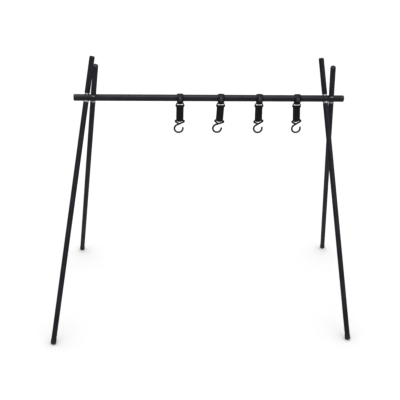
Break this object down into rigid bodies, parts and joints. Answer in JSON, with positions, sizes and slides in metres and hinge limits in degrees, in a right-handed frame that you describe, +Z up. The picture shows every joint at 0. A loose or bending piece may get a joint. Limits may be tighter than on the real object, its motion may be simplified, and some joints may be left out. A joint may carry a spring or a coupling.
{
  "type": "campfire hanging rack",
  "caption": "Free-standing camp hanging rack: a two-piece crossbar on crossed splayed legs with screw-on top tubes, carrying sliding strap hooks for pots and lamps.",
  "frame": {"origin": "on the ground, below the middle of the crossbar axis", "axes": "+X along the crossbar to the right, +Y to the rear, +Z up"},
  "size_m": [0.9716, 0.5566, 0.8099],
  "materials": {
    "black_tube": "satin black anodised tube",
    "bare_aluminium": "turned bare aluminium",
    "black_plastic": "moulded matt black plastic",
    "black_rubber": "moulded black rubber",
    "loop_leather": "smooth black synthetic leather",
    "snap_metal": "black nickel",
    "ring_wire": "black nickel wire",
    "strap_webbing": "woven black webbing",
    "hook_wire": "gunmetal coated wire"
  },
  "bodies": {
    "crossbar_left": {"crossbar_tube_left": "black_tube", "crossbar_spigot": "bare_aluminium", "crossbar_cap_left": "black_plastic"},
    "crossbar_right": {"crossbar_tube_right": "black_tube", "crossbar_cap_right": "black_plastic"},
    "leg_left_front": {"leg_tube_left_front": "black_tube", "leg_fittings_left_front": "bare_aluminium"},
    "shin_left_front": {"shin_tube_left_front": "black_tube", "foot_left_front": "black_rubber"},
    "top_washer_left_front": {"top_washer_left_front": "bare_aluminium"},
    "top_left_front": {"top_tube_left_front": "black_tube", "top_insert_left_front": "bare_aluminium", "top_cap_left_front": "black_plastic"},
    "leg_left_rear": {"leg_tube_left_rear": "black_tube", "leg_fittings_left_rear": "bare_aluminium"},
    "shin_left_rear": {"shin_tube_left_rear": "black_tube", "foot_left_rear": "black_rubber"},
    "top_washer_left_rear": {"top_washer_left_rear": "bare_aluminium"},
    "top_left_rear": {"top_tube_left_rear": "black_tube", "top_insert_left_rear": "bare_aluminium", "top_cap_left_rear": "black_plastic"},
    "leg_right_front": {"leg_tube_right_front": "black_tube", "leg_fittings_right_front": "bare_aluminium"},
    "shin_right_front": {"shin_tube_right_front": "black_tube", "foot_right_front": "black_rubber"},
    "top_washer_right_front": {"top_washer_right_front": "bare_aluminium"},
    "top_right_front": {"top_tube_right_front": "black_tube", "top_insert_right_front": "bare_aluminium", "top_cap_right_front": "black_plastic"},
    "leg_right_rear": {"leg_tube_right_rear": "black_tube", "leg_fittings_right_rear": "bare_aluminium"},
    "shin_right_rear": {"shin_tube_right_rear": "black_tube", "foot_right_rear": "black_rubber"},
    "top_washer_right_rear": {"top_washer_right_rear": "bare_aluminium"},
    "top_right_rear": {"top_tube_right_rear": "black_tube", "top_insert_right_rear": "bare_aluminium", "top_cap_right_rear": "black_plastic"},
    "hook_loop_1": {"hook_loop_1": "loop_leather", "hook_snap_1": "snap_metal"},
    "hook_ring_1": {"hook_ring_1": "ring_wire"},
    "hook_strap_1": {"hook_strap_1": "strap_webbing"},
    "hook_wire_1": {"hook_wire_1": "hook_wire"},
    "hook_loop_2": {"hook_loop_2": "loop_leather", "hook_snap_2": "snap_metal"},
    "hook_ring_2": {"hook_ring_2": "ring_wire"},
    "hook_strap_2": {"hook_strap_2": "strap_webbing"},
    "hook_wire_2": {"hook_wire_2": "hook_wire"},
    "hook_loop_3": {"hook_loop_3": "loop_leather", "hook_snap_3": "snap_metal"},
    "hook_ring_3": {"hook_ring_3": "ring_wire"},
    "hook_strap_3": {"hook_strap_3": "strap_webbing"},
    "hook_wire_3": {"hook_wire_3": "hook_wire"},
    "hook_loop_4": {"hook_loop_4": "loop_leather", "hook_snap_4": "snap_metal"},
    "hook_ring_4": {"hook_ring_4": "ring_wire"},
    "hook_strap_4": {"hook_strap_4": "strap_webbing"},
    "hook_wire_4": {"hook_wire_4": "hook_wire"}
  },
  "joints": [
    {"name": "bar_pull", "type": "slide", "parent": "crossbar_left", "child": "crossbar_right", "axis": [1, 0, 0], "range_m": [0, 0.045]},
    {"name": "leg_draw_left_front", "type": "slide", "parent": "crossbar_left", "child": "leg_left_front", "axis": [-0.1532, -0.3489, -0.9245], "range_m": [0, 0.045]},
    {"name": "shin_pull_left_front", "type": "slide", "parent": "leg_left_front", "child": "shin_left_front", "axis": [-0.1532, -0.3489, -0.9245], "range_m": [0, 0.035]},
    {"name": "top_lift_left_front", "type": "slide", "parent": "crossbar_left", "child": "top_washer_left_front", "axis": [0.1532, 0.3489, 0.9245], "range_m": [0, 0.01]},
    {"name": "top_turn_left_front", "type": "hinge", "parent": "top_washer_left_front", "child": "top_left_front", "pos_m": [-0.36093, 0.00471, 0.70948], "axis": [0.1532, 0.3489, 0.9245], "range_deg": [0, 2890]},
    {"name": "leg_draw_left_rear", "type": "slide", "parent": "crossbar_left", "child": "leg_left_rear", "axis": [-0.1222, 0.361, -0.9245], "range_m": [0, 0.045]},
    {"name": "shin_pull_left_rear", "type": "slide", "parent": "leg_left_rear", "child": "shin_left_rear", "axis": [-0.1222, 0.361, -0.9245], "range_m": [0, 0.035]},
    {"name": "top_lift_left_rear", "type": "slide", "parent": "crossbar_left", "child": "top_washer_left_rear", "axis": [0.1222, -0.361, 0.9245], "range_m": [0, 0.01]},
    {"name": "top_turn_left_rear", "type": "hinge", "parent": "top_washer_left_rear", "child": "top_left_rear", "pos_m": [-0.34235, -0.00487, 0.70948], "axis": [0.1222, -0.361, 0.9245], "range_deg": [0, 2890]},
    {"name": "leg_draw_right_front", "type": "slide", "parent": "crossbar_right", "child": "leg_right_front", "axis": [0.1222, -0.361, -0.9245], "range_m": [0, 0.045]},
    {"name": "shin_pull_right_front", "type": "slide", "parent": "leg_right_front", "child": "shin_right_front", "axis": [0.1222, -0.361, -0.9245], "range_m": [0, 0.035]},
    {"name": "top_lift_right_front", "type": "slide", "parent": "crossbar_right", "child": "top_washer_right_front", "axis": [-0.1222, 0.361, 0.9245], "range_m": [0, 0.01]},
    {"name": "top_turn_right_front", "type": "hinge", "parent": "top_washer_right_front", "child": "top_right_front", "pos_m": [0.34235, 0.00487, 0.70948], "axis": [-0.1222, 0.361, 0.9245], "range_deg": [0, 2890]},
    {"name": "leg_draw_right_rear", "type": "slide", "parent": "crossbar_right", "child": "leg_right_rear", "axis": [0.1532, 0.3489, -0.9245], "range_m": [0, 0.045]},
    {"name": "shin_pull_right_rear", "type": "slide", "parent": "leg_right_rear", "child": "shin_right_rear", "axis": [0.1532, 0.3489, -0.9245], "range_m": [0, 0.035]},
    {"name": "top_lift_right_rear", "type": "slide", "parent": "crossbar_right", "child": "top_washer_right_rear", "axis": [-0.1532, -0.3489, 0.9245], "range_m": [0, 0.01]},
    {"name": "top_turn_right_rear", "type": "hinge", "parent": "top_washer_right_rear", "child": "top_right_rear", "pos_m": [0.36093, -0.00471, 0.70948], "axis": [-0.1532, -0.3489, 0.9245], "range_deg": [0, 2890]},
    {"name": "loop_slide_1", "type": "slide", "parent": "crossbar_left", "child": "hook_loop_1", "axis": [1, 0, 0], "range_m": [-0.2, 0.055]},
    {"name": "ring_swing_1", "type": "hinge", "parent": "hook_loop_1", "child": "hook_ring_1", "pos_m": [-0.09, 0, 0.6812], "axis": [1, 0, 0], "range_deg": [-60, 60]},
    {"name": "strap_swing_1", "type": "hinge", "parent": "hook_ring_1", "child": "hook_strap_1", "pos_m": [-0.09, 0, 0.6702], "axis": [1, 0, 0], "range_deg": [-70, 70]},
    {"name": "hook_swing_1", "type": "hinge", "parent": "hook_strap_1", "child": "hook_wire_1", "pos_m": [-0.09, 0, 0.6258], "axis": [1, 0, 0], "range_deg": [-80, 80]},
    {"name": "loop_slide_2", "type": "slide", "parent": "crossbar_right", "child": "hook_loop_2", "axis": [1, 0, 0], "range_m": [-0.015, 0.04]},
    {"name": "ring_swing_2", "type": "hinge", "parent": "hook_loop_2", "child": "hook_ring_2", "pos_m": [0.031, 0, 0.6812], "axis": [0.9998, 0, -0.0175], "range_deg": [-60, 60]},
    {"name": "strap_swing_2", "type": "hinge", "parent": "hook_ring_2", "child": "hook_strap_2", "pos_m": [0.03081, 0, 0.6702], "axis": [0.9994, 0, -0.0349], "range_deg": [-70, 70]},
    {"name": "hook_swing_2", "type": "hinge", "parent": "hook_strap_2", "child": "hook_wire_2", "pos_m": [0.02926, 0, 0.62583], "axis": [0.9925, 0, -0.1219], "range_deg": [-80, 80]},
    {"name": "loop_slide_3", "type": "slide", "parent": "crossbar_right", "child": "hook_loop_3", "axis": [1, 0, 0], "range_m": [-0.038, 0.038]},
    {"name": "ring_swing_3", "type": "hinge", "parent": "hook_loop_3", "child": "hook_ring_3", "pos_m": [0.146, 0, 0.6812], "axis": [1, 0, 0], "range_deg": [-60, 60]},
    {"name": "strap_swing_3", "type": "hinge", "parent": "hook_ring_3", "child": "hook_strap_3", "pos_m": [0.146, 0, 0.6702], "axis": [0.9994, 0, 0.0349], "range_deg": [-70, 70]},
    {"name": "hook_swing_3", "type": "hinge", "parent": "hook_strap_3", "child": "hook_wire_3", "pos_m": [0.14755, 0, 0.62583], "axis": [0.9925, 0, 0.1219], "range_deg": [-80, 80]},
    {"name": "loop_slide_4", "type": "slide", "parent": "crossbar_right", "child": "hook_loop_4", "axis": [1, 0, 0], "range_m": [-0.038, 0.045]},
    {"name": "ring_swing_4", "type": "hinge", "parent": "hook_loop_4", "child": "hook_ring_4", "pos_m": [0.26, 0, 0.6812], "axis": [0.9998, 0, 0.0175], "range_deg": [-60, 60]},
    {"name": "strap_swing_4", "type": "hinge", "parent": "hook_ring_4", "child": "hook_strap_4", "pos_m": [0.26019, 0, 0.6702], "axis": [0.9962, 0, 0.0872], "range_deg": [-70, 70]},
    {"name": "hook_swing_4", "type": "hinge", "parent": "hook_strap_4", "child": "hook_wire_4", "pos_m": [0.26406, 0, 0.62597], "axis": [0.9877, 0, 0.1564], "range_deg": [-80, 80]}
  ],
  "couplings": [
    {"joint": "top_turn_left_front", "follows": "top_lift_left_front", "rad_per_m": 5026.5},
    {"joint": "top_turn_left_rear", "follows": "top_lift_left_rear", "rad_per_m": 5026.5},
    {"joint": "top_turn_right_front", "follows": "top_lift_right_front", "rad_per_m": 5026.5},
    {"joint": "top_turn_right_rear", "follows": "top_lift_right_rear", "rad_per_m": 5026.5}
  ]
}
